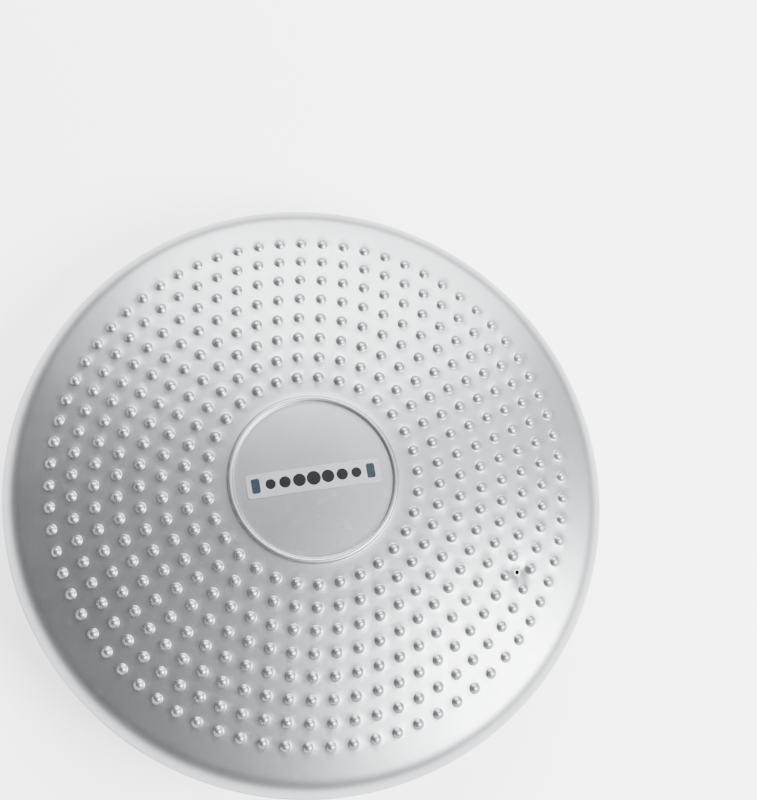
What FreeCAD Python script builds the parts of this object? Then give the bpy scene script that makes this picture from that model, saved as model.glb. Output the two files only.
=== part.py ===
"""Wobble cushion: an air-filled PVC disc with a finely dimpled sitting face and a studded underside.

+Z is up. The origin is on the floor, under the middle of the disc, at the tips of the studs.
All lengths are in millimetres.
"""
import FreeCAD, Part
import math
import os
import Sketcher
from FreeCAD import Placement, Rotation, Vector

SHEET = "Dimensions"
Z_AXIS = Vector(0, 0, 1)
Y_AXIS = Vector(0, 1, 0)

DRIVING = {
    # envelope
    "skin_radius": 164.7,
    "wall": 3.5,
    "rim_radius": 15.0,
    "seam_height": 31.0,
    "crown_rise": 40.0,
    "base_height": 4.5,
    "base_flat_radius": 56.8,
    # weld bead in the V groove of the seam
    "groove_depth": 1.2,
    "bead_half_height": 1.2,
    "bead_proud": 0.3,
    # both faces carry rings numbered from nought in the middle; the last one is this
    "last_ring": 12,
    # small bumps on the sitting face, outside the badge
    "first_bump_ring": 5,
    "first_bump_radius": 56.6,
    "bump_ring_gap": 11.8,
    "bump_width": 5.5,
    "bump_height": 2.0,
    # studs on the underside
    "middle_stud_radius": 7.0,
    "stud_ring_gap": 11.15,
    "large_stud_width": 9.4,
    "large_stud_height": 4.5,
    "small_stud_width": 6.4,
    "small_stud_height": 3.5,
    "stud_wear": 0.3,
    # badge in the middle of the sitting face
    "badge_radius": 44.2,
    "badge_bead_radius": 1.6,
    "badge_bead_sunk": 0.2,
    "label_length": 72.0,
    "label_width": 13.0,
    "label_corner": 1.5,
    "label_thickness": 0.4,
    "label_turn": 12.0,
    # needle valve, between the tenth and eleventh rings
    "valve_radius": 121.4,
    "valve_angle": -19.6,
    "dimple_width": 8.0,
    "dimple_depth": 0.8,
    "neck_radius": 2.0,
    "lip_height": 0.5,
    "needle_radius": 1.05,
    "needle_depth": 10.0,
    "plug_radius": 4.0,
    "plug_length": 13.0,
    "boot_radius": 6.5,
    "boot_flange_radius": 11.0,
    "boot_flange": 1.8,
    "boot_floor": 1.6,
}

# The crown's radius follows from its rise and the rim arc that it runs into.
CROWN_RADIUS = (
    "((skin_radius - rim_radius)^2 + crown_rise^2 - rim_radius^2)"
    " / (2 * (crown_rise - rim_radius))"
)

# How far a bump's root reaches into the wall that it grows from.
BUMP_ROOT = 0.8

# Arms of large studs on the underside. Each runs from ring nine inwards, three studs wide, on both
# sides of the mirror line. Its angle from that line is start + sweep * (rings inwards / span)^bend.
STUD_ARMS = (
    {"start": 58.0, "sweep": 27.0, "span": 5.0, "bend": 1.6},
    {"start": 153.0, "sweep": -41.0, "span": 6.0, "bend": 1.8},
)
ARM_OUTER_RING = 9
ARM_INNER_RING = 3
ARM_HALF_STUDS = 1
SECOND_RING_ARC = (45.0, 125.0)
FIRST_RING_ARC = (0.0, 115.0)


# ---------------------------------------------------------------- the sheet and small helpers

def make_sheet(doc):
    """The driving dimensions, each with its alias."""
    sheet = doc.addObject("Spreadsheet::Sheet", SHEET)
    for row, (alias, value) in enumerate(DRIVING.items(), start=1):
        sheet.set(f"A{row}", alias)
        sheet.set(f"B{row}", str(value))
        sheet.setAlias(f"B{row}", alias)
    doc.recompute()
    return sheet


def sized(text):
    """An expression over the sheet's aliases, longest names first so that none is cut in two."""
    for number, alias in enumerate(sorted(DRIVING, key=len, reverse=True)):
        text = text.replace(alias, f"<{number}>")
    for number, alias in enumerate(sorted(DRIVING, key=len, reverse=True)):
        text = text.replace(f"<{number}>", f"{SHEET}.{alias}")
    return text


def bind(obj, **expressions):
    """Bind properties of obj to the sheet."""
    for name, text in expressions.items():
        obj.setExpression(name.replace("__", "."), sized(text))


def crown_radius(sheet):
    """Radius of the sitting face's outer sphere."""
    reach = sheet.skin_radius - sheet.rim_radius
    rise = sheet.crown_rise
    return (reach**2 + rise**2 - sheet.rim_radius**2) / (2 * (rise - sheet.rim_radius))


def crown_centre(sheet):
    """Centre of the sitting face's outer sphere, far below the floor."""
    return Vector(0, 0, sheet.seam_height + sheet.crown_rise - crown_radius(sheet))


def base_sphere(sheet):
    """Centre height and radius of the underside's outer sphere.

    It passes through the edge of the flat middle and runs into the rim arc.
    """
    flat = sheet.base_flat_radius
    rim = sheet.rim_radius
    reach = sheet.skin_radius - rim
    drop = sheet.seam_height - sheet.base_height
    half = (reach**2 + drop**2 - flat**2 - rim**2) / 2
    slack = drop**2 - rim**2
    radius = (rim * half + math.sqrt((rim * half) ** 2 + slack * (half**2 + (flat * drop) ** 2))) / slack
    return sheet.base_height + (rim * radius + half) / drop, radius


def plane_of(body, role):
    """One of the body's own origin planes."""
    return next(f for f in body.Origin.OriginFeatures if f.Role == role)


def arc_between(centre, start, end):
    """A counter-clockwise sketch arc about centre."""
    radius = (start - centre).Length
    first = math.atan2(start.y - centre.y, start.x - centre.x)
    last = math.atan2(end.y - centre.y, end.x - centre.x)
    circle = Part.Circle(centre, Z_AXIS, radius)
    return Part.ArcOfCircle(circle, first, last)


def new_body(doc, name):
    """A body with an empty sketch on its XZ plane, for a turned profile."""
    body = doc.addObject("PartDesign::Body", name)
    sketch = body.newObject("Sketcher::SketchObject", name + "_profile")
    sketch.AttachmentSupport = [(plane_of(body, "XZ_Plane"), "")]
    sketch.MapMode = "FlatFace"
    return body, sketch


def revolve(body, sketch):
    """A full turn of the sketch about the body's vertical axis."""
    turned = body.newObject("PartDesign::Revolution", body.Name + "_turned")
    turned.Profile = sketch
    turned.ReferenceAxis = (sketch, ["V_Axis"])
    turned.Angle = 360.0
    body.Tip = turned
    return body


def dimension(sketch, kind, target, name, value, text):
    """A driving dimension of the sketch, bound to the sheet."""
    index = sketch.addConstraint(Sketcher.Constraint(kind, *target, value))
    sketch.renameConstraint(index, name)
    sketch.setExpression("Constraints." + name, sized(text))


def join_ends(sketch, pairs):
    """Make each pair of points one point. A point is (edge, end), with end 1 or 2."""
    for (edge_a, end_a), (edge_b, end_b) in pairs:
        sketch.addConstraint(Sketcher.Constraint("Coincident", edge_a, end_a, edge_b, end_b))


def smooth_ends(sketch, pairs):
    """Make each pair of points one point, with the two edges tangent there."""
    for (edge_a, end_a), (edge_b, end_b) in pairs:
        sketch.addConstraint(Sketcher.Constraint("Tangent", edge_a, end_a, edge_b, end_b))


# ---------------------------------------------------------------- the two skins

ORIGIN_POINT = (-1, 1)
VERTICAL_AXIS = -2
START, END, CENTRE = 1, 2, 3


def upper_shell(doc, sheet):
    """The plain upper half: a spherical crown that runs into the rim arc and ends at the seam."""
    body, sketch = new_body(doc, "upper_shell")
    crown = crown_radius(sheet)
    wall = sheet.wall
    seam = sheet.seam_height
    top = seam + sheet.crown_rise
    centre = Vector(0, top - crown, 0)
    rim = Vector(sheet.skin_radius - sheet.rim_radius, seam, 0)
    out = (rim - centre).normalize()
    bead = sheet.bead_half_height
    lip = rim + Vector(math.sqrt(sheet.rim_radius**2 - bead**2), bead, 0)
    groove = Vector(sheet.skin_radius - sheet.groove_depth, seam, 0)
    inner = Vector(sheet.skin_radius - wall, seam, 0)
    crown_out, rim_out, chamfer, face, rim_in, crown_in, axis = range(7)
    sketch.addGeometry(arc_between(centre, centre + out * crown, Vector(0, top, 0)))
    sketch.addGeometry(arc_between(rim, lip, rim + out * sheet.rim_radius))
    sketch.addGeometry(Part.LineSegment(lip, groove))
    sketch.addGeometry(Part.LineSegment(groove, inner))
    sketch.addGeometry(arc_between(rim, inner, rim + out * (sheet.rim_radius - wall)))
    sketch.addGeometry(arc_between(centre, centre + out * (crown - wall), Vector(0, top - wall, 0)))
    sketch.addGeometry(Part.LineSegment(Vector(0, top - wall, 0), Vector(0, top, 0)))
    smooth_ends(sketch, [((crown_out, START), (rim_out, END)), ((crown_in, START), (rim_in, END))])
    join_ends(sketch, [
        ((rim_out, START), (chamfer, START)), ((chamfer, END), (face, START)),
        ((face, END), (rim_in, START)), ((crown_in, END), (axis, START)),
        ((axis, END), (crown_out, END)),
        ((crown_out, CENTRE), (crown_in, CENTRE)), ((rim_out, CENTRE), (rim_in, CENTRE)),
    ])
    for edge, point in ((crown_out, CENTRE), (axis, START), (axis, END)):
        sketch.addConstraint(Sketcher.Constraint("PointOnObject", edge, point, VERTICAL_AXIS))
    sketch.addConstraint(Sketcher.Constraint("Horizontal", face))
    up, along = "DistanceY", "DistanceX"
    top_text = "seam_height + crown_rise"
    dimension(sketch, up, (*ORIGIN_POINT, axis, END), "top", top, top_text)
    dimension(sketch, up, (*ORIGIN_POINT, axis, START), "ceiling", top - wall, top_text + " - wall")
    dimension(sketch, up, (*ORIGIN_POINT, rim_out, CENTRE), "rim_up", seam, "seam_height")
    dimension(sketch, along, (*ORIGIN_POINT, rim_out, CENTRE), "rim_out", rim.x,
              "skin_radius - rim_radius")
    dimension(sketch, "Radius", (rim_out,), "rim_radius", sheet.rim_radius, "rim_radius")
    dimension(sketch, up, (*ORIGIN_POINT, face, START), "seam", seam, "seam_height")
    dimension(sketch, along, (*ORIGIN_POINT, face, START), "groove", groove.x,
              "skin_radius - groove_depth")
    dimension(sketch, up, (*ORIGIN_POINT, rim_out, START), "lip", lip.y,
              "seam_height + bead_half_height")
    return revolve(body, sketch)


def lower_shell(doc, sheet):
    """The plain lower half: a flat middle, a shallow sphere outwards and the rim arc up to the seam."""
    body, sketch = new_body(doc, "lower_shell")
    centre_height, sweep = base_sphere(sheet)
    wall = sheet.wall
    seam = sheet.seam_height
    base = sheet.base_height
    flat = sheet.base_flat_radius
    centre = Vector(0, centre_height, 0)
    rim = Vector(sheet.skin_radius - sheet.rim_radius, seam, 0)
    out = (rim - centre).normalize()
    bead = sheet.bead_half_height
    lip = rim + Vector(math.sqrt(sheet.rim_radius**2 - bead**2), -bead, 0)
    groove = Vector(sheet.skin_radius - sheet.groove_depth, seam, 0)
    inner = Vector(sheet.skin_radius - wall, seam, 0)
    floor, sweep_out, rim_out, chamfer, face, rim_in, sweep_in, ceiling, axis = range(9)
    sketch.addGeometry(Part.LineSegment(Vector(0, base, 0), Vector(flat, base, 0)))
    sketch.addGeometry(arc_between(centre, Vector(flat, base, 0), centre + out * sweep))
    sketch.addGeometry(arc_between(rim, rim + out * sheet.rim_radius, lip))
    sketch.addGeometry(Part.LineSegment(lip, groove))
    sketch.addGeometry(Part.LineSegment(groove, inner))
    sketch.addGeometry(arc_between(rim, rim + out * (sheet.rim_radius - wall), inner))
    inside_reach = math.sqrt((sweep - wall) ** 2 - (centre_height - base - wall) ** 2)
    inside = Vector(inside_reach, base + wall, 0)
    sketch.addGeometry(arc_between(centre, inside, centre + out * (sweep - wall)))
    sketch.addGeometry(Part.LineSegment(inside, Vector(0, base + wall, 0)))
    sketch.addGeometry(Part.LineSegment(Vector(0, base + wall, 0), Vector(0, base, 0)))
    smooth_ends(sketch, [((sweep_out, END), (rim_out, START)), ((rim_in, START), (sweep_in, END))])
    join_ends(sketch, [
        ((floor, END), (sweep_out, START)), ((sweep_in, START), (ceiling, START)),
        ((rim_out, END), (chamfer, START)), ((chamfer, END), (face, START)),
        ((face, END), (rim_in, END)), ((ceiling, END), (axis, START)),
        ((axis, END), (floor, START)),
        ((sweep_out, CENTRE), (sweep_in, CENTRE)), ((rim_out, CENTRE), (rim_in, CENTRE)),
    ])
    for edge, point in ((sweep_out, CENTRE), (axis, START), (axis, END)):
        sketch.addConstraint(Sketcher.Constraint("PointOnObject", edge, point, VERTICAL_AXIS))
    for edge in (floor, face, ceiling):
        sketch.addConstraint(Sketcher.Constraint("Horizontal", edge))
    up, along = "DistanceY", "DistanceX"
    dimension(sketch, up, (*ORIGIN_POINT, axis, END), "base", base, "base_height")
    dimension(sketch, up, (*ORIGIN_POINT, axis, START), "inside", base + wall, "base_height + wall")
    dimension(sketch, along, (*ORIGIN_POINT, floor, END), "flat", flat, "base_flat_radius")
    dimension(sketch, up, (*ORIGIN_POINT, rim_out, CENTRE), "rim_up", seam, "seam_height")
    dimension(sketch, along, (*ORIGIN_POINT, rim_out, CENTRE), "rim_out", rim.x,
              "skin_radius - rim_radius")
    dimension(sketch, "Radius", (rim_out,), "rim_radius", sheet.rim_radius, "rim_radius")
    dimension(sketch, up, (*ORIGIN_POINT, face, START), "seam", seam, "seam_height")
    dimension(sketch, along, (*ORIGIN_POINT, face, START), "groove", groove.x,
              "skin_radius - groove_depth")
    dimension(sketch, up, (*ORIGIN_POINT, rim_out, END), "lip", lip.y,
              "seam_height - bead_half_height")
    dimension(sketch, along, (*ORIGIN_POINT, face, END), "wall", inner.x, "skin_radius - wall")
    return revolve(body, sketch)


def bump_ring_radius(sheet, ring):
    """The sitting face's rings are evenly spaced outside the badge."""
    return sheet.first_bump_radius + sheet.bump_ring_gap * (ring - sheet.first_bump_ring)


def stud_ring_radius(sheet, ring):
    """The underside's rings are evenly spaced from the middle, a little closer together."""
    return sheet.middle_stud_radius + sheet.stud_ring_gap * ring


def bump_angles(ring):
    """Degrees from the mirror line, which runs through one bump of every ring."""
    count = 1 + 6 * ring
    return [360.0 * i / count for i in range(count)]


def stud_count(ring):
    """Each ring has six more studs than the one inside it."""
    return 4 + 6 * ring


def stud_angles(ring):
    """Degrees from the mirror line, which runs halfway between two studs of every ring."""
    count = stud_count(ring)
    return [360.0 * (i + 0.5) / count for i in range(count)]


def cap(foot, outwards, width, height, flat=0.0):
    """A spherical bump of this width and height on a wall, its root a little inside the wall.

    With flat, its tip is cut that far below the full height.
    """
    radius = (width**2 / 4 + height**2) / (2 * height)
    centre = foot + outwards * (height - radius)
    root = math.degrees(math.asin((radius - height - BUMP_ROOT) / radius))
    tip = math.degrees(math.asin((radius - flat) / radius))
    return Part.makeSphere(radius, centre, outwards, root, tip, 360)


def direction(degrees):
    """The level direction this far round from the mirror line, which is +Y."""
    angle = math.radians(degrees + 90)
    return Vector(math.cos(angle), math.sin(angle), 0)


def sitting_bumps(doc, sheet):
    """The small bumps of the sitting face, each square to the crown."""
    crown = crown_radius(sheet)
    centre = crown_centre(sheet)
    caps = []
    for ring in range(int(sheet.first_bump_ring), int(sheet.last_ring) + 1):
        reach = bump_ring_radius(sheet, ring)
        lift = math.sqrt(crown**2 - reach**2)
        for degrees in bump_angles(ring):
            outwards = (direction(degrees) * reach + Z_AXIS * lift).normalize()
            caps.append(cap(centre + outwards * crown, outwards, sheet.bump_width, sheet.bump_height))
    bumps = doc.addObject("Part::Feature", "sitting_bumps")
    bumps.Shape = Part.makeCompound(caps)
    return bumps


def arm_places(ring):
    """Indices of this ring's studs that lie on an arm."""
    count = stud_count(ring)
    places = set()
    for arm in STUD_ARMS:
        inwards = (ARM_OUTER_RING - ring) / arm["span"]
        angle = arm["start"] + arm["sweep"] * inwards ** arm["bend"]
        middle = round(angle * count / 360.0 - 0.5)
        for place in range(middle - ARM_HALF_STUDS, middle + ARM_HALF_STUDS + 1):
            places.add(place)
            places.add(count - 1 - place)
    return places


def stud_is_large(ring, place, degrees):
    """Which studs stand tall: the outer rings, the arms and most of the middle."""
    off_line = min(degrees, 360.0 - degrees)
    if ring > ARM_OUTER_RING or ring == 0:
        return True
    if ring == 1:
        return FIRST_RING_ARC[0] <= off_line < FIRST_RING_ARC[1]
    if ring < ARM_INNER_RING:
        return SECOND_RING_ARC[0] < off_line < SECOND_RING_ARC[1]
    return place in arm_places(ring)


def underside_point(sheet, reach):
    """Height and outward normal (radial, up) of the underside at this radius."""
    if reach <= sheet.base_flat_radius:
        return sheet.base_height, (0.0, -1.0)
    centre_height, radius = base_sphere(sheet)
    drop = math.sqrt(radius**2 - reach**2)
    return centre_height - drop, (reach / radius, -drop / radius)


def underside_studs(doc, sheet):
    """The studs that the cushion stands on. Those of the flat middle have worn tips."""
    caps = []
    for ring in range(int(sheet.last_ring) + 1):
        reach = stud_ring_radius(sheet, ring)
        height, (radial, up) = underside_point(sheet, reach)
        for place, degrees in enumerate(stud_angles(ring)):
            around = direction(degrees)
            foot = around * reach + Z_AXIS * height
            outwards = around * radial + Z_AXIS * up
            if stud_is_large(ring, place, degrees):
                wear = sheet.stud_wear if radial == 0.0 else 0.0
                tall = sheet.large_stud_height + wear
                caps.append(cap(foot, outwards, sheet.large_stud_width, tall, wear))
            else:
                caps.append(cap(foot, outwards, sheet.small_stud_width, sheet.small_stud_height))
    studs = doc.addObject("Part::Feature", "underside_studs")
    studs.Shape = Part.makeCompound(caps)
    return studs


def badge_bead(doc):
    """The half-round ring that frames the badge."""
    bead = doc.addObject("Part::Torus", "badge_bead")
    bind(bead, Radius1="badge_radius", Radius2="badge_bead_radius",
         Placement__Base__z="seam_height + crown_rise - (" + CROWN_RADIUS + ")"
                            " + sqrt((" + CROWN_RADIUS + " - badge_bead_sunk)^2 - badge_radius^2)")
    return bead


def valve_placement(sheet):
    """On the crown at the valve, with local +Z out of the skin."""
    crown = crown_radius(sheet)
    tilt = math.degrees(math.asin(sheet.valve_radius / crown))
    turn = Rotation(Z_AXIS, sheet.valve_angle).multiply(Rotation(Y_AXIS, tilt))
    return Placement(crown_centre(sheet) + turn.multVec(Vector(0, 0, crown)), turn)


def valve_seat_tool(doc, sheet):
    """What the valve takes out of the skin: a shallow dimple and the hole for the plug's neck."""
    dimple = doc.addObject("Part::Sphere", "dimple_tool")
    bind(dimple, Radius="((dimple_width / 2)^2 + dimple_depth^2) / (2 * dimple_depth)")
    radius = (sheet.dimple_width**2 / 4 + sheet.dimple_depth**2) / (2 * sheet.dimple_depth)
    place = valve_placement(sheet)
    dimple.Placement = place.multiply(Placement(Vector(0, 0, radius - sheet.dimple_depth), Rotation()))
    hole = doc.addObject("Part::Cylinder", "neck_tool")
    bind(hole, Radius="neck_radius", Height="4 * wall")
    hole.Placement = place.multiply(Placement(Vector(0, 0, -2 * sheet.wall), Rotation()))
    tool = doc.addObject("Part::Fuse", "valve_seat_tool")
    tool.Base = dimple
    tool.Tool = hole
    return tool


def make_upper_skin(doc, sheet):
    """The sitting half: shell, bumps and badge bead in one moulding, cut for the valve."""
    whole = doc.addObject("Part::MultiFuse", "upper_moulding")
    whole.Shapes = [upper_shell(doc, sheet), badge_bead(doc), sitting_bumps(doc, sheet)]
    skin = doc.addObject("Part::Cut", "upper_skin_cut")
    skin.Base = whole
    skin.Tool = valve_seat_tool(doc, sheet)
    return skin


def make_lower_skin(doc, sheet):
    """The standing half: shell and studs in one moulding."""
    skin = doc.addObject("Part::MultiFuse", "lower_moulding")
    skin.Shapes = [lower_shell(doc, sheet), underside_studs(doc, sheet)]
    return skin


# ---------------------------------------------------------------- the weld, the valve, the label

def make_rim_weld(doc, sheet):
    """The bead of melted PVC that fills the seam's V groove and stands a little proud."""
    body, sketch = new_body(doc, "rim_weld_body")
    seam = sheet.seam_height
    bead = sheet.bead_half_height
    edge = sheet.skin_radius - sheet.rim_radius + math.sqrt(sheet.rim_radius**2 - bead**2)
    root = Vector(sheet.skin_radius - sheet.groove_depth, seam, 0)
    low = Vector(edge, seam - bead, 0)
    high = Vector(edge, seam + bead, 0)
    proud = Vector(sheet.skin_radius + sheet.bead_proud, seam, 0)
    top_face, crest, low_face = range(3)
    sketch.addGeometry(Part.LineSegment(high, root))
    sketch.addGeometry(Part.Arc(low, proud, high))
    sketch.addGeometry(Part.LineSegment(root, low))
    join_ends(sketch, [
        ((top_face, END), (low_face, START)), ((low_face, END), (crest, START)),
        ((crest, END), (top_face, START)),
    ])
    up, along = "DistanceY", "DistanceX"
    edge_text = "skin_radius - rim_radius + sqrt(rim_radius^2 - bead_half_height^2)"
    dimension(sketch, along, (*ORIGIN_POINT, top_face, END), "root_out", root.x,
              "skin_radius - groove_depth")
    dimension(sketch, up, (*ORIGIN_POINT, top_face, END), "root_up", seam, "seam_height")
    dimension(sketch, along, (*ORIGIN_POINT, top_face, START), "high_out", edge, edge_text)
    dimension(sketch, up, (*ORIGIN_POINT, top_face, START), "high_up", high.y,
              "seam_height + bead_half_height")
    dimension(sketch, along, (*ORIGIN_POINT, low_face, END), "low_out", edge, edge_text)
    dimension(sketch, up, (*ORIGIN_POINT, low_face, END), "low_up", low.y,
              "seam_height - bead_half_height")
    bulge = "(skin_radius + bead_proud - (" + edge_text + "))"
    crest_text = "(bead_half_height^2 + " + bulge + "^2) / (2 * " + bulge + ")"
    rise = proud.x - edge
    dimension(sketch, "Radius", (crest,), "crest_radius", (bead**2 + rise**2) / (2 * rise),
              crest_text)
    return revolve(body, sketch)


def make_valve_plug(doc, sheet):
    """The self-sealing plug: a neck with a lip round the needle hole, and a wider body below."""
    neck = doc.addObject("Part::Cylinder", "plug_neck")
    bind(neck, Radius="neck_radius", Height="wall - dimple_depth + lip_height",
         Placement__Base__z="-wall")
    barrel = doc.addObject("Part::Cylinder", "plug_barrel")
    bind(barrel, Radius="plug_radius", Height="plug_length",
         Placement__Base__z="-wall - boot_flange / 4 - plug_length")
    collar = doc.addObject("Part::Cylinder", "plug_collar")
    bind(collar, Radius="neck_radius", Height="boot_flange / 4",
         Placement__Base__z="-wall - boot_flange / 4")
    solid = doc.addObject("Part::MultiFuse", "plug_solid")
    solid.Shapes = [neck, collar, barrel]
    channel = doc.addObject("Part::Cylinder", "needle_channel")
    bind(channel, Radius="needle_radius", Height="needle_depth + lip_height",
         Placement__Base__z="lip_height - dimple_depth - needle_depth")
    plug = doc.addObject("Part::Cut", "valve_plug_cut")
    plug.Base = solid
    plug.Tool = channel
    plug.Placement = valve_placement(sheet)
    return plug


def make_valve_boot(doc, sheet):
    """The rubber pocket bonded under the skin, which squeezes the plug shut."""
    flange = doc.addObject("Part::Cylinder", "boot_flange_disc")
    bind(flange, Radius="boot_flange_radius", Height="boot_flange + 1",
         Placement__Base__z="-wall - boot_flange")
    barrel = doc.addObject("Part::Cylinder", "boot_barrel")
    bind(barrel, Radius="boot_radius", Height="boot_flange / 4 + plug_length + boot_floor",
         Placement__Base__z="-wall - boot_flange / 4 - plug_length - boot_floor")
    outside = doc.addObject("Part::Fuse", "boot_outside")
    outside.Base = flange
    outside.Tool = barrel
    cavity = doc.addObject("Part::Cylinder", "boot_cavity")
    bind(cavity, Radius="plug_radius", Height="plug_length",
         Placement__Base__z="-wall - boot_flange / 4 - plug_length")
    mouth = doc.addObject("Part::Cylinder", "boot_mouth")
    bind(mouth, Radius="neck_radius", Height="wall",
         Placement__Base__z="-wall - boot_flange / 4")
    inside = doc.addObject("Part::Fuse", "boot_inside")
    inside.Base = cavity
    inside.Tool = mouth
    hollow = doc.addObject("Part::Cut", "boot_hollow")
    hollow.Base = outside
    hollow.Tool = inside
    hollow.Placement = valve_placement(sheet)
    under_skin = doc.addObject("Part::Sphere", "crown_inside")
    bind(under_skin, Radius=CROWN_RADIUS + " - wall")
    under_skin.Placement.Base = crown_centre(sheet)
    boot = doc.addObject("Part::Common", "valve_boot_fitted")
    boot.Base = hollow
    boot.Tool = under_skin
    return boot


def make_badge_label(doc, sheet):
    """The film label that lies on the crown inside the badge bead."""
    strip = doc.addObject("Part::Box", "label_strip")
    bind(strip, Length="label_length", Width="label_width", Height="crown_rise + wall",
         Placement__Base__x="-label_length / 2", Placement__Base__y="-label_width / 2",
         Placement__Base__z="seam_height")
    rounded = doc.addObject("Part::Fillet", "label_rounded")
    rounded.Base = strip
    doc.recompute()
    upright = [
        number for number, edge in enumerate(strip.Shape.Edges, start=1)
        if abs(edge.tangentAt(edge.FirstParameter).z) > 0.5
    ]
    corner = sheet.label_corner
    rounded.Edges = [(number, corner, corner) for number in upright]
    outer = doc.addObject("Part::Sphere", "film_outside")
    bind(outer, Radius=CROWN_RADIUS + " + label_thickness")
    inner = doc.addObject("Part::Sphere", "film_inside")
    bind(inner, Radius=CROWN_RADIUS)
    for sphere in (outer, inner):
        sphere.Placement.Base = crown_centre(sheet)
    layer = doc.addObject("Part::Cut", "film_layer")
    layer.Base = outer
    layer.Tool = inner
    label = doc.addObject("Part::Common", "badge_label_cut")
    label.Base = rounded
    label.Tool = layer
    label.Placement = Placement(Vector(), Rotation(Z_AXIS, sheet.label_turn))
    return label


# ---------------------------------------------------------------- build, check, write

MAKERS = {
    "lower_skin": make_lower_skin,
    "rim_weld": make_rim_weld,
    "upper_skin": make_upper_skin,
    "valve_boot": make_valve_boot,
    "valve_plug": make_valve_plug,
    "badge_label": make_badge_label,
}


def check(doc, pieces):
    """Stop on any failed object, and on any piece whose shape is null or not valid."""
    for obj in doc.Objects:
        if "Invalid" in obj.State or "Error" in obj.State:
            raise RuntimeError(f"{obj.Name}: {obj.State}")
    for name, piece in pieces.items():
        if piece.Shape.isNull() or not piece.Shape.isValid():
            raise RuntimeError(f"{name}: bad shape")


def main():
    doc = FreeCAD.newDocument("wobble_cushion")
    sheet = make_sheet(doc)
    pieces = {}
    for name, make in MAKERS.items():
        pieces[name] = make(doc, sheet)
        pieces[name].Label = name
    doc.recompute()
    check(doc, pieces)
    os.makedirs("parts", exist_ok=True)
    for name, piece in pieces.items():
        piece.Shape.exportStep(f"parts/{name}.step")
        box = piece.Shape.BoundBox
        solids = len(piece.Shape.Solids)
        volume = piece.Shape.Volume / 1000
        print(f"{name}: {solids} solid, {volume:.1f} cm3, z {box.ZMin:.2f} to {box.ZMax:.2f}")


main()
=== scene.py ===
"""Looks of the wobble cushion: moulded PVC skins with real bumps and studs, valve, weld and label.

All lengths are in metres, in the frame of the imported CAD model.
"""
import math
import random

import bmesh
import bpy
import numpy as np
from mathutils import Matrix, Vector
from mathutils.geometry import delaunay_2d_cdt


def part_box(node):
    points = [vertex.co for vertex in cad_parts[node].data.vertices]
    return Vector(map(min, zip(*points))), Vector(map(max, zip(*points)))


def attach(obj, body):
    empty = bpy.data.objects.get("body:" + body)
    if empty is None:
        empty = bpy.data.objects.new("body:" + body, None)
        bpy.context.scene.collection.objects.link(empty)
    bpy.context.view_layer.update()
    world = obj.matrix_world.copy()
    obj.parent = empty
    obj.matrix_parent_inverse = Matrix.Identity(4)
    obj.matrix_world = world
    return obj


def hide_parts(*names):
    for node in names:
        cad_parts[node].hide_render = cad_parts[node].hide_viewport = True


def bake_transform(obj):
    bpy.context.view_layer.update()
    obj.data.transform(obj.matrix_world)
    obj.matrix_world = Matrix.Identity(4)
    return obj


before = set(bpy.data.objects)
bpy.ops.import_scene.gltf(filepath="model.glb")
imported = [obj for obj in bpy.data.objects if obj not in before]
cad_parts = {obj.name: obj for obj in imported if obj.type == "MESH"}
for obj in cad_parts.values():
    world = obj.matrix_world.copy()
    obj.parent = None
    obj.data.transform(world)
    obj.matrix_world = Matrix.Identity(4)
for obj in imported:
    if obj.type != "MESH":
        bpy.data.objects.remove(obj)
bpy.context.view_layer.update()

MM = 0.001
TAU = 2 * math.pi

# ------------------------------------------------------------------ sizes, from the frame and the part
UPPER_LOW, UPPER_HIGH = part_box("upper_skin")
SEAM = UPPER_LOW[2]
TOP = UPPER_HIGH[2]
RISE = TOP - SEAM
SKIN_RADIUS = UPPER_HIGH[0]
WALL = 3.5 * MM
RIM_RADIUS = 15 * MM
BASE = 4.5 * MM
BASE_FLAT = 56.8 * MM
GROOVE = 1.2 * MM
BEAD_PROUD = 0.3 * MM

LAST_RING = 12
FIRST_BUMP_RING = 5
FIRST_BUMP_RADIUS = 56.6 * MM
BUMP_RING_GAP = 11.8 * MM
MIDDLE_STUD_RADIUS = 7.0 * MM
STUD_RING_GAP = 11.15 * MM
PATTERN_EDGE = 147.5 * MM            # outside the last ring of either face
BUMP = (5.5 * MM, 2.0 * MM)          # width, height
LARGE_STUD = (9.4 * MM, 4.5 * MM)
SMALL_STUD = (6.4 * MM, 3.5 * MM)

BADGE_RADIUS = 44.2 * MM
BADGE_BEAD = (3.1 * MM, 1.4 * MM)   # width, height
VALVE_RADIUS = 121.4 * MM
VALVE_ANGLE = math.radians(-19.6)
NECK_RADIUS = 2.0 * MM
NEEDLE_RADIUS = 1.05 * MM
NEEDLE_DEPTH = 10 * MM
LIP_HEIGHT = 0.55 * MM
PLUG_RADIUS = 4 * MM
PLUG_LENGTH = 13 * MM
POCKET_RADIUS = 6.5 * MM
POCKET_FLANGE = 11 * MM
POCKET_FLOOR = 1.6 * MM
DIMPLE = (6.5 * MM, 2.0 * MM)        # reach, depth
LABEL = (72 * MM, 13 * MM)           # length, width
LABEL_CORNER = 1.5 * MM
LABEL_TURN = math.radians(12)
FILM = 0.35 * MM

# Arms of large studs on the underside: angle from the mirror line, as start + sweep * inwards^bend.
STUD_ARMS = ((58, 27, 5, 1.6), (153, -41, 6, 1.8))
ARM_RINGS = (3, 9)
FIRST_RING_ARC = 115
SECOND_RING_ARC = (45, 125)

AROUND = 288                         # points round the rim and the seam
VALVE_AROUND = 20
VALVE_RINGS = (1.0, 1.25, 1.55)      # circles of points round the valve's hole, in hole radii
BEAD_REACH = 0.62                    # half the band of points across the badge bead, in bead widths
COARSE = 9 * MM                      # spacing of points on the inside of a skin

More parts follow.
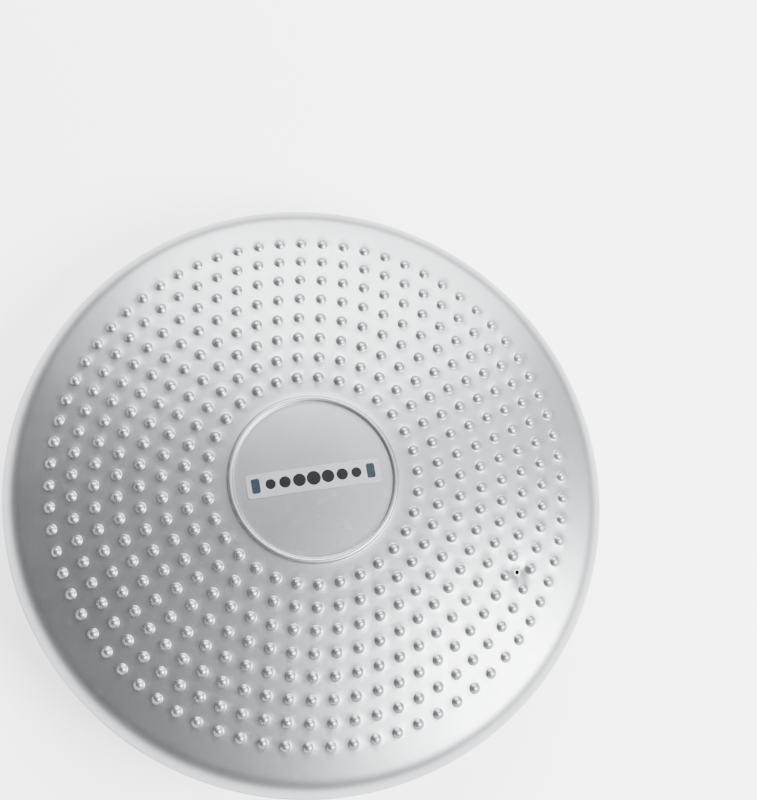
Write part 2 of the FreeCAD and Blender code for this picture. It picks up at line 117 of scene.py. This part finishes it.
CAMERA_PLACE = (-0.0765, -0.215, 0.9987)
CAMERA_TARGET = (0.0365, 0.0541, 0.040)
CAMERA_UP = (-0.0395, 0.9992, 0)


# ------------------------------------------------------------------ profiles
class Profile:
    """An outline turned about the vertical axis, measured by the length s along it from the middle.

    It is a flat, then an arc about a point on the axis, then the rim arc that ends at the seam.
    """

    def __init__(self, flat, flat_height, centre_height, radius, upwards):
        rim = SKIN_RADIUS - RIM_RADIUS
        self.up = 1 if upwards else -1
        self.flat = flat
        self.flat_height = flat_height
        self.centre_height = centre_height
        self.radius = radius
        self.first = math.asin(flat / radius)
        self.last = math.asin(rim / (radius - RIM_RADIUS))
        self.arc_end = flat + radius * (self.last - self.first)
        # the rim arc stops where the groove of the weld begins
        self.rim_turn = math.pi / 2 - math.asin(GROOVE / RIM_RADIUS) - self.last
        self.end = self.arc_end + RIM_RADIUS * self.rim_turn

    def at(self, s):
        """Radius, height and outward normal at s, for an array of s."""
        s = np.asarray(s, float)
        angle = self.first + (s - self.flat) / self.radius
        turn = self.last + (s - self.arc_end) / RIM_RADIUS
        flat, rim = s < self.flat, s > self.arc_end
        a = np.where(flat, 0.0, np.where(rim, turn, angle))
        r = np.where(rim, SKIN_RADIUS - RIM_RADIUS + RIM_RADIUS * np.sin(a), self.radius * np.sin(a))
        z = np.where(rim, SEAM + self.up * RIM_RADIUS * np.cos(a),
                     self.centre_height + self.up * self.radius * np.cos(a))
        r = np.where(flat, s, r)
        z = np.where(flat, self.flat_height, z)
        return r, z, np.sin(a), self.up * np.cos(a)

    def along(self, reach):
        """The s of a point this far from the axis, short of the rim arc."""
        if reach <= self.flat:
            return reach
        return self.flat + self.radius * (math.asin(reach / self.radius) - self.first)


def crown_profile():
    """The sitting face: one sphere, with its pole at the top."""
    reach = SKIN_RADIUS - RIM_RADIUS
    radius = (reach**2 + RISE**2 - RIM_RADIUS**2) / (2 * (RISE - RIM_RADIUS))
    return Profile(0.0, TOP, TOP - radius, radius, True)


def base_profile():
    """The underside: a flat middle, then a sphere that runs into the rim."""
    reach = SKIN_RADIUS - RIM_RADIUS
    drop = SEAM - BASE
    half = (reach**2 + drop**2 - BASE_FLAT**2 - RIM_RADIUS**2) / 2
    slack = drop**2 - RIM_RADIUS**2
    root = math.sqrt((RIM_RADIUS * half) ** 2 + slack * (half**2 + (BASE_FLAT * drop) ** 2))
    radius = (RIM_RADIUS * half + root) / slack
    centre = BASE + (RIM_RADIUS * radius + half) / drop
    return Profile(BASE_FLAT, BASE, centre, radius, False)


CROWN = crown_profile()
UNDERSIDE = base_profile()


# ------------------------------------------------------------------ the pattern of bumps and studs
def bump_angles(ring):
    """Degrees from the mirror line, which is +Y and runs through one bump of every ring."""
    count = 1 + 6 * ring
    return [360 * i / count for i in range(count)]


def stud_angles(ring):
    """Degrees from the mirror line, which runs halfway between two studs of every ring."""
    count = 4 + 6 * ring
    return [360 * (i + 0.5) / count for i in range(count)]


def on_arm(ring, place):
    """True for the three studs nearest to an arm, on either side of the mirror line."""
    count = 4 + 6 * ring
    for start, sweep, span, bend in STUD_ARMS:
        angle = start + sweep * ((ARM_RINGS[1] - ring) / span) ** bend
        middle = round(angle * count / 360 - 0.5)
        if min(abs(place - middle), abs(count - 1 - place - middle)) <= 1:
            return True
    return False


def stud_size(ring, place, degrees):
    """Width and height of a stud."""
    off_line = min(degrees, 360 - degrees)
    if ring > ARM_RINGS[1] or ring == 0:
        return LARGE_STUD
    if ring == 1:
        return LARGE_STUD if off_line < FIRST_RING_ARC else SMALL_STUD
    if ring < ARM_RINGS[0]:
        low, high = SECOND_RING_ARC
        return LARGE_STUD if low < off_line < high else SMALL_STUD
    return LARGE_STUD if on_arm(ring, place) else SMALL_STUD


def bump_ring(ring):
    """Radius of a ring of the sitting face."""
    return FIRST_BUMP_RADIUS + BUMP_RING_GAP * (ring - FIRST_BUMP_RING)


def stud_ring(ring):
    """Radius of a ring of the underside."""
    return MIDDLE_STUD_RADIUS + STUD_RING_GAP * ring


def pattern(profile, first, ring_radius, angles_of, size_of, seed):
    """Every bump as (x, y, width, height) on the skin laid flat, each a little uneven."""
    wobble = random.Random(seed)
    bumps = []
    for ring in range(first, LAST_RING + 1):
        s = profile.along(ring_radius(ring))
        for place, degrees in enumerate(angles_of(ring)):
            width, height = size_of(ring, place, degrees)
            angle = math.radians(degrees + 90)
            grow = 1 + wobble.uniform(-0.025, 0.025)
            bumps.append((s * math.cos(angle), s * math.sin(angle), width * grow, height))
    return bumps


# ------------------------------------------------------------------ the skins
def bump_points(bump, steps, around):
    """Points (x, y, height) of one round bump: a spherical cap that runs out in a small fillet."""
    x, y, width, height = bump
    a = width / 2
    ball = (a * a + height * height) / (2 * height)
    widest = math.acos(max(-1.0, (ball - height) / ball))
    reach = 0.86 * min(widest, math.pi / 2)
    rings = [(ball * math.sin(reach * k / steps), height - ball * (1 - math.cos(reach * k / steps)))
             for k in range(1, steps + 1)]
    rings += [(a * 1.0, height * 0.09), (a * 1.07, height * 0.02), (a * 1.20, 0.0)]
    points = [(x, y, height)]
    for k, (d, h) in enumerate(rings):
        for j in range(around):
            angle = TAU * (j + 0.5 * (k % 2)) / around
            points.append((x + d * math.cos(angle), y + d * math.sin(angle), h))
    return points


def circle(s, count, height=0.0):
    """Points round the middle of the skin laid flat."""
    return [(s * math.cos(TAU * i / count), s * math.sin(TAU * i / count), height) for i in range(count)]


def plain_points(profile, spacing, fine):
    """Even circles over the plain stretches, finer round the rim, the last one the skin's edge."""
    points = [(0.0, 0.0, 0.0)]
    stops = list(np.arange(spacing, profile.arc_end - 2 * fine, spacing))
    for s in stops:
        if s > profile.along(PATTERN_EDGE):
            points += circle(s, AROUND)
        else:
            points += circle(s, max(6, round(TAU * s / spacing)))
    turns = round((profile.end - profile.arc_end + 2 * fine) / fine)
    for s in np.linspace(profile.arc_end - 2 * fine, profile.end, turns + 1)[:-1]:
        points += circle(s, AROUND)
    return points


def badge_points():
    """The half-round bead of the badge, as circles with a fillet at each side."""
    width, height = BADGE_BEAD
    middle = CROWN.along(BADGE_RADIUS)
    points = []
    for k in range(-6, 7):
        across = k / 6
        side = min(1.0, abs(across) / 0.8)
        lift = height * math.sqrt(max(0.0, 1 - side**2))
        if abs(k) == 5:
            lift = 0.04 * height
        points += circle(middle + across * width * BEAD_REACH, 180, lift)
    return points


def valve_spot():
    """The valve's place on the sitting face laid flat."""
    s = CROWN.along(VALVE_RADIUS)
    return s * math.cos(VALVE_ANGLE), s * math.sin(VALVE_ANGLE)


def valve_points():
    """Rings round the hole for the plug's neck, the first one the hole's edge."""
    x, y = valve_spot()
    points = []
    for k, d in enumerate(VALVE_RINGS):
        for j in range(VALVE_AROUND):
            angle = TAU * (j + 0.5 * (k % 2)) / VALVE_AROUND
            across, along = math.cos(angle), math.sin(angle)
            points.append((x + NECK_RADIUS * d * across, y + NECK_RADIUS * d * along, 0))
    return points


def clear_of(points, centres, reaches):
    """The points outside every circle."""
    p = np.array(points)
    keep = np.ones(len(p), bool)
    for (x, y), reach in zip(centres, reaches):
        keep &= np.hypot(p[:, 0] - x, p[:, 1] - y) > reach
    return [tuple(row) for row in p[keep]]


def sunk(x, y):
    """How far the skin is drawn in round the valve."""
    vx, vy = valve_spot()
    reach, depth = DIMPLE
    # the dimple is a little longer away from the middle, where the pocket under the skin pulls at it
    ahead = (x - vx) * math.cos(VALVE_ANGLE) + (y - vy) * math.sin(VALVE_ANGLE)
    d2 = (x - vx) ** 2 + (y - vy) ** 2
    wide = np.where(ahead > 0, 1.15, 0.8) * reach
    return -depth * np.exp(-2.2 * d2 / wide**2)


def lift(profile, points, inset=0.0, dimple=False):
    """Points of the skin laid flat, taken to the turned surface, inset below it."""
    p = np.array(points, float)
    s = np.hypot(p[:, 0], p[:, 1])
    r, z, across, up = profile.at(s)
    height = p[:, 2] - inset
    if dimple:
        height = height + sunk(p[:, 0], p[:, 1])
    unit = np.where(s[:, None] > 0, p[:, :2] / np.maximum(s, 1e-12)[:, None], 0.0)
    return np.column_stack([unit * (r + across * height)[:, None], z + up * height])


def triangles(points, hole=None):
    """Delaunay triangles of the skin laid flat, without those inside the hole."""
    flat = [Vector((x, y)) for x, y, _ in points]
    _, _, faces, origin, _, _ = delaunay_2d_cdt(flat, [], [], 0, 1e-9, True)
    faces = [[origin[i][0] for i in face] for face in faces]
    if hole is None:
        return faces
    inside = set(hole)
    return [face for face in faces if not inside.issuperset(face)]


def bridge(loop_a, loop_b):
    """Quads between two loops of the same count."""
    n = len(loop_a)
    return [(loop_a[i], loop_a[(i + 1) % n], loop_b[(i + 1) % n], loop_b[i]) for i in range(n)]


def seam_loops(profile):
    """The groove's root and the inner edge of the face that is welded."""
    loops = []
    for radius in (SKIN_RADIUS - GROOVE, SKIN_RADIUS - WALL):
        loops.append([(radius * math.cos(TAU * i / AROUND), radius * math.sin(TAU * i / AROUND), SEAM)
                      for i in range(AROUND)])
    return loops


def new_object(name, vertices, faces, material):
    """A smooth-shaded mesh object with its faces turned outwards."""
    mesh = bpy.data.meshes.new(name)
    mesh.from_pydata([tuple(v) for v in vertices], [], [tuple(f) for f in faces])
    mesh.validate()
    obj = bpy.data.objects.new(name, mesh)
    bpy.context.scene.collection.objects.link(obj)
    mesh.materials.append(material)
    tidy_normals(mesh)
    mesh.shade_smooth()
    return obj


def tidy_normals(mesh):
    """Turn every face of a closed mesh outwards."""
    work = bmesh.new()
    work.from_mesh(mesh)
    bmesh.ops.recalc_face_normals(work, faces=work.faces)
    work.to_mesh(mesh)
    work.free()


def inside_points(profile, valve):
    """Coarser points for the plain inside, those of the valve's hole first."""
    points = [(0.0, 0.0, 0.0)]
    for s in np.arange(COARSE, profile.arc_end, COARSE):
        points += circle(s, max(6, round(TAU * s / COARSE)))
    for s in np.linspace(profile.arc_end, profile.end, 6)[:-1]:
        points += circle(s, AROUND // 2)
    if not valve:
        return points
    return valve_points()[:VALVE_AROUND] + clear_of(points, [valve_spot()], [2 * NECK_RADIUS])


def skin(name, profile, bumps, detail, material, extra=(), valve=False):
    """A closed moulded skin: bumped outside, plain inside, with the weld's groove along its edge.

    detail gives the steps and the points round of a bump, and extra holds the badge's points.
    """
    spots = [(x, y) for x, y, _, _ in bumps]
    reaches = [width * 0.64 + 1.1 * MM for _, _, width, _ in bumps]
    plain = plain_points(profile, 3.1 * MM, 1.3 * MM)
    hole = []
    if valve:
        spots.append(valve_spot())
        reaches.append(NECK_RADIUS * VALVE_RINGS[-1] + 0.8 * MM)
        hole = valve_points()
    if extra:
        band = BADGE_BEAD[0] * BEAD_REACH + 0.8 * MM
        middle = CROWN.along(BADGE_RADIUS)
        plain = [p for p in plain if abs(math.hypot(p[0], p[1]) - middle) > band]
    outer = hole + clear_of(plain, spots, reaches) + list(extra)
    for bump in bumps:
        outer += bump_points(bump, *detail(bump))
    edge_out = len(outer)
    outer += circle(profile.end, AROUND)
    faces = triangles(outer, range(VALVE_AROUND) if valve else None)
    vertices = list(lift(profile, outer, dimple=valve))

    inner = inside_points(profile, valve)
    edge_in = len(inner)
    inner += circle(profile.end, AROUND)
    start = len(vertices)
    inner_faces = triangles(inner, range(VALVE_AROUND) if valve else None)
    faces += [[start + i for i in reversed(face)] for face in inner_faces]
    vertices += list(lift(profile, inner, inset=WALL, dimple=valve))

    root, lip = seam_loops(profile)
    root_start = len(vertices)
    vertices += root
    lip_start = len(vertices)
    vertices += lip
    rows = [
        range(edge_out, edge_out + AROUND), range(root_start, root_start + AROUND),
        range(lip_start, lip_start + AROUND), range(start + edge_in, start + edge_in + AROUND),
    ]
    for row, following in zip(rows, rows[1:]):
        faces += bridge(row, following)
    if valve:
        faces += bridge(range(VALVE_AROUND), range(start, start + VALVE_AROUND))
    return new_object(name, vertices, faces, material)


def turned(name, outline, material, place, around=48):
    """A turned piece at place, from a closed outline of (radius, height) points."""
    vertices = []
    for r, z in outline:
        for i in range(around):
            angle = TAU * i / around
            vertices.append(place @ Vector((r * math.cos(angle), r * math.sin(angle), z)))
    faces = []
    for k in range(len(outline)):
        following = (k + 1) % len(outline)
        faces += bridge(range(k * around, (k + 1) * around),
                        range(following * around, (following + 1) * around))
    return new_object(name, vertices, faces, material)


# ------------------------------------------------------------------ materials
def new_material(name):
    material = bpy.data.materials.new(name)
    material.use_nodes = True
    nodes = material.node_tree.nodes
    shader = next(n for n in nodes if n.type == "BSDF_PRINCIPLED")
    return material, material.node_tree, shader


def add(tree, kind, **settings):
    """A node with its properties and its input values."""
    node = tree.nodes.new(kind)
    for key, value in settings.items():
        if key in node.inputs.keys():
            node.inputs[key].default_value = value
        else:
            setattr(node, key, value)
    return node


def noise(tree, scale, detail=3.0, rough=0.55):
    """Noise over the object's own place, in metres."""
    where = add(tree, "ShaderNodeTexCoord")
    node = add(tree, "ShaderNodeTexNoise", Scale=scale, Detail=detail, Roughness=rough)
    tree.links.new(where.outputs["Object"], node.inputs["Vector"])
    return node.outputs["Fac"]


def spread(tree, source, low, high, to_low, to_high):
    """Map the range low..high of a value to another range."""
    node = add(tree, "ShaderNodeMapRange")
    for name, value in (("From Min", low), ("From Max", high), ("To Min", to_low), ("To Max", to_high)):
        node.inputs[name].default_value = value
    tree.links.new(source, node.inputs["Value"])
    return node.outputs["Result"]


def mix_colour(tree, factor, first, second):
    """Mix two colours by a value."""
    node = add(tree, "ShaderNodeMix", data_type="RGBA")
    tree.links.new(factor, node.inputs["Factor"])
    for socket, colour in ((node.inputs["A"], first), (node.inputs["B"], second)):
        if isinstance(colour, tuple):
            socket.default_value = (*colour, 1)
        else:
            tree.links.new(colour, socket)
    return node.outputs["Result"]


def bumped(tree, shader, *layers):
    """Stack bump layers (height, distance) on the shader's normal."""
    normal = None
    for height, distance in layers:
        node = add(tree, "ShaderNodeBump", Strength=1.0, Distance=distance)
        tree.links.new(height, node.inputs["Height"])
        if normal is not None:
            tree.links.new(normal, node.inputs["Normal"])
        normal = node.outputs["Normal"]
    tree.links.new(normal, shader.inputs["Normal"])


def silver_pvc(name, light, dark):
    """Pearl silver PVC: fine flake, cloudy flow marks from the mould, faint dull scuffs."""
    material, tree, shader = new_material(name)
    cloud = spread(tree, noise(tree, 22.0, 4.0), 0.35, 0.65, 0, 1)
    flake = spread(tree, noise(tree, 2600.0, 1.0), 0.30, 0.70, 0, 1)
    scuff = spread(tree, noise(tree, 140.0, 6.0, 0.7), 0.58, 0.74, 0, 1)
    base = mix_colour(tree, cloud, dark, light)
    pearl = tuple(min(1.0, c * 1.16) for c in light)
    flaked = mix_colour(tree, spread(tree, flake, 0.45, 1, 0, 0.45), base, pearl)
    tree.links.new(flaked, shader.inputs["Base Color"])
    rough = add(tree, "ShaderNodeMath", operation="ADD")
    tree.links.new(spread(tree, flake, 0, 1, 0.38, 0.44), rough.inputs[0])
    tree.links.new(spread(tree, scuff, 0, 1, 0.0, 0.07), rough.inputs[1])
    tree.links.new(rough.outputs[0], shader.inputs["Roughness"])
    shader.inputs["Metallic"].default_value = 0.94
    shader.inputs["Coat Weight"].default_value = 0.05
    shader.inputs["Coat Roughness"].default_value = 0.35
    bumped(tree, shader, (noise(tree, 34.0, 2.0), 0.00016), (noise(tree, 900.0, 3.0), 0.000008),
           (flake, 0.000002))
    return material


def from_axis(tree, place):
    """Distance of the surface from the axis of the piece that stands at place."""
    where = add(tree, "ShaderNodeTexCoord")
    offset = add(tree, "ShaderNodeVectorMath", operation="SUBTRACT")
    offset.inputs[1].default_value = place.translation
    tree.links.new(where.outputs["Object"], offset.inputs[0])
    cross = add(tree, "ShaderNodeVectorMath", operation="CROSS_PRODUCT")
    cross.inputs[1].default_value = place.col[2].xyz
    tree.links.new(offset.outputs["Vector"], cross.inputs[0])
    length = add(tree, "ShaderNodeVectorMath", operation="LENGTH")
    tree.links.new(cross.outputs["Vector"], length.inputs[0])
    return length.outputs["Value"]


def soft_rubber(name, light, dark, roughness, place=None):
    """Plain moulded rubber with a fine grain and a little dust. With place, its needle channel gets painted
    shade: near black, standing in for the shade deep in the hole.
    """
    material, tree, shader = new_material(name)
    grain = noise(tree, 1400.0, 4.0)
    dust = spread(tree, noise(tree, 300.0, 5.0, 0.65), 0.4, 0.7, 0, 1)
    colour = mix_colour(tree, dust, dark, light)
    if place is not None:
        # Painted shade: inside the needle channel the colour goes near black, standing in for the shade deep
        # in the narrow hole that the lamps hardly reach.
        outside = spread(tree, from_axis(tree, place), 1.10 * NEEDLE_RADIUS, 1.25 * NEEDLE_RADIUS, 0, 1)
        colour = mix_colour(tree, outside, (0.008, 0.008, 0.008), colour)
    tree.links.new(colour, shader.inputs["Base Color"])
    tree.links.new(spread(tree, grain, 0.3, 0.7, roughness - 0.06, roughness + 0.06),
                   shader.inputs["Roughness"])
    bumped(tree, shader, (grain, 0.00002))
    return material


def film(name):
    """Glossy silver film: faint brushed streaks under a clear coat."""
    material, tree, shader = new_material(name)
    where = add(tree, "ShaderNodeTexCoord")
    stretch = add(tree, "ShaderNodeMapping", Scale=(60.0, 900.0, 60.0), Rotation=(0, 0, -LABEL_TURN))
    tree.links.new(where.outputs["Object"], stretch.inputs["Vector"])
    streak = add(tree, "ShaderNodeTexNoise", Scale=1.0, Detail=4.0)
    tree.links.new(stretch.outputs["Vector"], streak.inputs["Vector"])
    line = spread(tree, streak.outputs["Fac"], 0.35, 0.65, 0, 1)
    tree.links.new(mix_colour(tree, line, (0.60, 0.61, 0.63), (0.62, 0.63, 0.65)),
                   shader.inputs["Base Color"])
    tree.links.new(spread(tree, line, 0, 1, 0.27, 0.30), shader.inputs["Roughness"])
    shader.inputs["Metallic"].default_value = 0.6
    shader.inputs["Coat Weight"].default_value = 0.7
    shader.inputs["Coat Roughness"].default_value = 0.08
    bumped(tree, shader, (line, 0.000002), (noise(tree, 260.0, 2.0), 0.00002))
    return material


def ink(name, colour):
    """Screen-printed ink: slightly uneven cover with a satin surface."""
    material, tree, shader = new_material(name)
    cover = spread(tree, noise(tree, 2200.0, 3.0), 0.35, 0.65, 0, 1)
    paler = tuple(c * 1.5 + 0.01 for c in colour)
    tree.links.new(mix_colour(tree, cover, colour, paler), shader.inputs["Base Color"])
    tree.links.new(spread(tree, cover, 0, 1, 0.32, 0.42), shader.inputs["Roughness"])
    shader.inputs["Specular IOR Level"].default_value = 0.12
    bumped(tree, shader, (cover, 0.000008))
    return material


def floor_material():
    """Plain pale studio floor."""
    material, tree, shader = new_material("studio_floor")
    cloud = spread(tree, noise(tree, 3.0, 2.0), 0.3, 0.7, 0, 1)
    tree.links.new(mix_colour(tree, cloud, (0.86, 0.86, 0.86), (0.89, 0.89, 0.89)),
                   shader.inputs["Base Color"])
    shader.inputs["Roughness"].default_value = 0.9
    shader.inputs["Emission Color"].default_value = (1, 1, 1, 1)
    shader.inputs["Emission Strength"].default_value = 2.2
    return material


# ------------------------------------------------------------------ pieces
def bend_with_face(piece):
    """Bake the piece's placement into its mesh."""
    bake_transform(piece)


def make_upper_skin():
    bumps = pattern(CROWN, FIRST_BUMP_RING, bump_ring, bump_angles, lambda *where: BUMP, seed=5)
    piece = skin("sitting_skin", CROWN, bumps, lambda bump: (7, 18), silver_pvc(
        "silver_pvc_sitting", (0.42, 0.43, 0.445), (0.36, 0.37, 0.385)),
        extra=badge_points(), valve=True)
    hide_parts("upper_skin")
    bend_with_face(piece)


def make_lower_skin():
    bumps = pattern(UNDERSIDE, 0, stud_ring, stud_angles, stud_size, seed=6)
    piece = skin("studded_skin", UNDERSIDE, bumps, lambda bump: (6, 16) if bump[2] > 8 * MM else (5, 12),
                 silver_pvc("silver_pvc_underside", (0.40, 0.41, 0.425), (0.34, 0.35, 0.365)))
    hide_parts("lower_skin")
    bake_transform(piece)


def make_weld():
    """The weld's bead: it fills the groove, and its crest wanders a little."""
    edge = SKIN_RADIUS - RIM_RADIUS + math.sqrt(RIM_RADIUS**2 - GROOVE**2)
    root = SKIN_RADIUS - GROOVE
    vertices = []
    for i in range(AROUND):
        angle = TAU * i / AROUND
        wander = 0.08 * MM * math.sin(7 * angle) + 0.05 * MM * math.sin(23 * angle + 1)
        proud = BEAD_PROUD + 0.05 * MM * math.sin(11 * angle) - 0.07 * MM
        for across in (-1.0, -0.8, -0.45, 0.0, 0.45, 0.8, 1.0):
            r = edge + (SKIN_RADIUS - edge + proud) * math.sqrt(1 - across**2)
            shift = wander * (1 - abs(across))
            vertices.append((r * math.cos(angle), r * math.sin(angle), SEAM + GROOVE * across + shift))
        vertices.append((root * math.cos(angle), root * math.sin(angle), SEAM))
    rows = 8
    faces = []
    for k in range(rows):
        row = [i * rows + k for i in range(AROUND)]
        following = [i * rows + (k + 1) % rows for i in range(AROUND)]
        faces += bridge(row, following)
    piece = new_object("weld_bead", vertices, faces, silver_pvc(
        "silver_pvc_weld", (0.42, 0.43, 0.445), (0.36, 0.37, 0.385)))
    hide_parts("rim_weld")
    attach(piece, "rim")


def valve_place():
    """The valve's frame, with +Z out of the skin, at the bottom of the dimple."""
    x, y = valve_spot()
    spot = lift(CROWN, [(x, y, 0.0)], dimple=True)[0]
    tilt = math.asin(VALVE_RADIUS / CROWN.radius)
    turn = Matrix.Rotation(VALVE_ANGLE, 4, "Z") @ Matrix.Rotation(tilt, 4, "Y")
    return Matrix.Translation(Vector(spot)) @ turn


def make_plug(place, neck):
    """The plug: a neck with a rounded lip round the needle channel, and a wider body below."""
    foot = -neck - PLUG_LENGTH
    outline = [
        (NEEDLE_RADIUS, -NEEDLE_DEPTH), (NEEDLE_RADIUS, LIP_HEIGHT - 0.35 * MM),
        (1.2 * MM, LIP_HEIGHT - 0.1 * MM), (1.5 * MM, LIP_HEIGHT),
        (1.8 * MM, LIP_HEIGHT - 0.05 * MM), (2.05 * MM, LIP_HEIGHT - 0.25 * MM),
        (2.05 * MM, 0.02 * MM), (1.95 * MM, -0.1 * MM), (1.95 * MM, -neck), (PLUG_RADIUS, -neck),
        (PLUG_RADIUS, foot), (0.2 * MM, foot), (0.2 * MM, -NEEDLE_DEPTH),
    ]
    # The plug's rubber carries painted shade: its needle channel is coloured near black for the shade deep in
    # the hole.
    rubber = soft_rubber("pale_rubber_painted_channel_shade", (0.86, 0.86, 0.84), (0.72, 0.72, 0.70), 0.45, place)
    plug = turned("valve_plug_body", outline, rubber, place)
    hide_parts("valve_plug")
    bend_with_face(plug)


def make_pocket(place, neck):
    """The rubber pocket bonded under the skin, with its flange."""
    inside = PLUG_RADIUS + 0.02 * MM
    top = -WALL - 0.05 * MM
    low = -neck - PLUG_LENGTH
    foot = low - POCKET_FLOOR
    outline = [
        (2.1 * MM, top), (2.1 * MM, -neck + 0.05 * MM), (inside, -neck + 0.02 * MM), (inside, low),
        (0.3 * MM, low - 0.02 * MM), (0.3 * MM, foot), (POCKET_RADIUS - 0.8 * MM, foot),
        (POCKET_RADIUS, low - 0.8 * MM), (POCKET_RADIUS, -WALL - 2.3 * MM),
        (POCKET_RADIUS + 0.6 * MM, -WALL - 1.8 * MM), (POCKET_FLANGE - 0.5 * MM, -WALL - 1.5 * MM),
        (POCKET_FLANGE, -WALL - 0.9 * MM), (POCKET_FLANGE, top),
    ]
    rubber = soft_rubber("black_rubber", (0.06, 0.06, 0.06), (0.025, 0.025, 0.025), 0.8)
    pocket = turned("valve_pocket", outline, rubber, place)
    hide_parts("valve_boot")
    bend_with_face(pocket)


def make_valve():
    """The needle valve, at the bottom of its dimple."""
    place = valve_place()
    neck = WALL + 0.5 * MM
    make_plug(place, neck)
    make_pocket(place, neck)


def on_crown(x, y, height):
    """A point of the badge, given along and across the label, this far above the crown."""
    turned_x = x * math.cos(LABEL_TURN) - y * math.sin(LABEL_TURN)
    turned_y = x * math.sin(LABEL_TURN) + y * math.cos(LABEL_TURN)
    return tuple(lift(CROWN, [(turned_x, turned_y, height)])[0])


def rounded_outline(length, width, corner, steps=5, pitch=3 * MM):
    """A rectangle with round corners, counter-clockwise, with points along its straight sides."""
    points = []
    for cx, cy, start in ((1, 1, 0), (-1, 1, 90), (-1, -1, 180), (1, -1, 270)):
        middle = (cx * (length / 2 - corner), cy * (width / 2 - corner))
        for k in range(steps + 1):
            angle = math.radians(start + 90 * k / steps)
            points.append((middle[0] + corner * math.cos(angle), middle[1] + corner * math.sin(angle)))
    filled = []
    for a, b in zip(points, points[1:] + points[:1]):
        count = math.ceil(math.dist(a, b) / pitch)
        filled += [(a[0] + (b[0] - a[0]) * k / count, a[1] + (b[1] - a[1]) * k / count) for k in range(count)]
    return filled


def plate(name, outlines, low, high, material, bevel=0.0):
    """Thin shapes that follow the crown, each with a bevelled upper face, a side and a lower face."""
    vertices, faces = [], []
    for outline in outlines:
        n = len(outline)
        mx = sum(p[0] for p in outline) / n
        my = sum(p[1] for p in outline) / n
        size = max(math.hypot(x - mx, y - my) for x, y in outline)
        count = math.ceil(size / (4.5 * MM))
        shares = [k / count for k in range(1, count)]
        levels = [(share, low) for share in shares] + [(1.0, low), (1.0, high - bevel)]
        levels += [(1 - bevel / size, high)] + [(share, high) for share in reversed(shares)]
        start = len(vertices)
        for share, height in levels:
            vertices += [on_crown(mx + (x - mx) * share, my + (y - my) * share, height) for x, y in outline]
        for k in range(len(levels) - 1):
            faces += bridge(range(start + k * n, start + (k + 1) * n),
                            range(start + (k + 1) * n, start + (k + 2) * n))
        for row, height in ((len(levels) - 1, high), (0, low)):
            centre = len(vertices)
            vertices.append(on_crown(mx, my, height))
            first = start + row * n
            faces += [(first + i, first + (i + 1) % n, centre) for i in range(n)]
    piece = new_object(name, vertices, faces, material)
    piece.data.set_sharp_from_angle(angle=math.radians(40))
    return piece


def disc(x, y, radius, count=28):
    return [(x + radius * math.cos(TAU * i / count), y + radius * math.sin(TAU * i / count))
            for i in range(count)]


def make_label():
    """The film and a plain motif: a row of dots that swells to the middle, between two bars."""
    length, width = LABEL
    strip = plate("label_film", [rounded_outline(length, width, LABEL_CORNER)], 0.0, FILM,
                  film("silver_film"), bevel=0.18 * MM)
    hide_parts("badge_label")
    bend_with_face(strip)
    pitch = 7.7 * MM
    dots = [disc(k * pitch, 0, (3.8 - 0.35 * abs(k)) * MM) for k in range(-3, 4)]
    printed = plate("label_dots", dots, FILM - 0.02 * MM, FILM + 0.05 * MM, ink(
        "charcoal_ink", (0.006, 0.006, 0.007)), bevel=0.02 * MM)
    bars = []
    for side in (-1, 1):
        bar = rounded_outline(4.6 * MM, 8.0 * MM, 1.2 * MM)
        bars.append([(x + side * 31 * MM, y) for x, y in bar])
    edges = plate("label_bars", bars, FILM - 0.02 * MM, FILM + 0.05 * MM, ink(
        "slate_ink", (0.012, 0.020, 0.027)), bevel=0.02 * MM)
    for piece in (printed, edges):
        bend_with_face(piece)


# ------------------------------------------------------------------ camera, light and floor
def look_from(obj, place, target, up):
    """Turn a camera or lamp at place to look at target, with up upwards in the picture."""
    forward = (Vector(target) - Vector(place)).normalized()
    right = forward.cross(Vector(up)).normalized()
    above = right.cross(forward)
    turn = Matrix((right, above, -forward)).transposed().to_4x4()
    obj.matrix_world = Matrix.Translation(Vector(place)) @ turn


def make_camera():
    """Nearly overhead, from a metre away, a little from the front left."""
    data = bpy.data.cameras.new("camera")
    data.lens = 81.0
    data.sensor_width = 36.0
    data.clip_start = 0.05
    camera = bpy.data.objects.new("camera", data)
    bpy.context.scene.collection.objects.link(camera)
    look_from(camera, CAMERA_PLACE, CAMERA_TARGET, CAMERA_UP)
    bpy.context.scene.camera = camera


def softbox(name, place, target, size, power):
    data = bpy.data.lights.new(name, "AREA")
    data.shape = "RECTANGLE"
    data.size, data.size_y = size
    data.energy = power
    lamp = bpy.data.objects.new(name, data)
    bpy.context.scene.collection.objects.link(lamp)
    look_from(lamp, place, target, (0, 0.3, 1))


def make_light():
    """Two big softboxes, behind and to the front right, over an even pale room."""
    softbox("softbox_back", (0.10, 1.05, 0.95), (0, 0, 0.05), (1.4, 0.6), 50.0)
    softbox("softbox_right", (0.95, -0.45, 1.05), (0, 0, 0.05), (0.9, 0.7), 75.0)
    world = bpy.data.worlds.new("room")
    bpy.context.scene.world = world
    world.use_nodes = True
    background = world.node_tree.nodes["Background"]
    background.inputs["Color"].default_value = (0.97, 0.98, 1.0, 1)
    background.inputs["Strength"].default_value = 0.14


def make_floor():
    half = 6.0
    mesh = bpy.data.meshes.new("floor")
    mesh.from_pydata([(-half, -half, 0), (half, -half, 0), (half, half, 0), (-half, half, 0)], [],
                     [(0, 1, 2, 3)])
    floor = bpy.data.objects.new("floor", mesh)
    bpy.context.scene.collection.objects.link(floor)
    mesh.materials.append(floor_material())


make_camera()
make_light()
make_floor()
make_upper_skin()
make_lower_skin()
make_weld()
make_valve()
make_label()


def plain(box):
    return [[float(v) for v in corner] for corner in box]
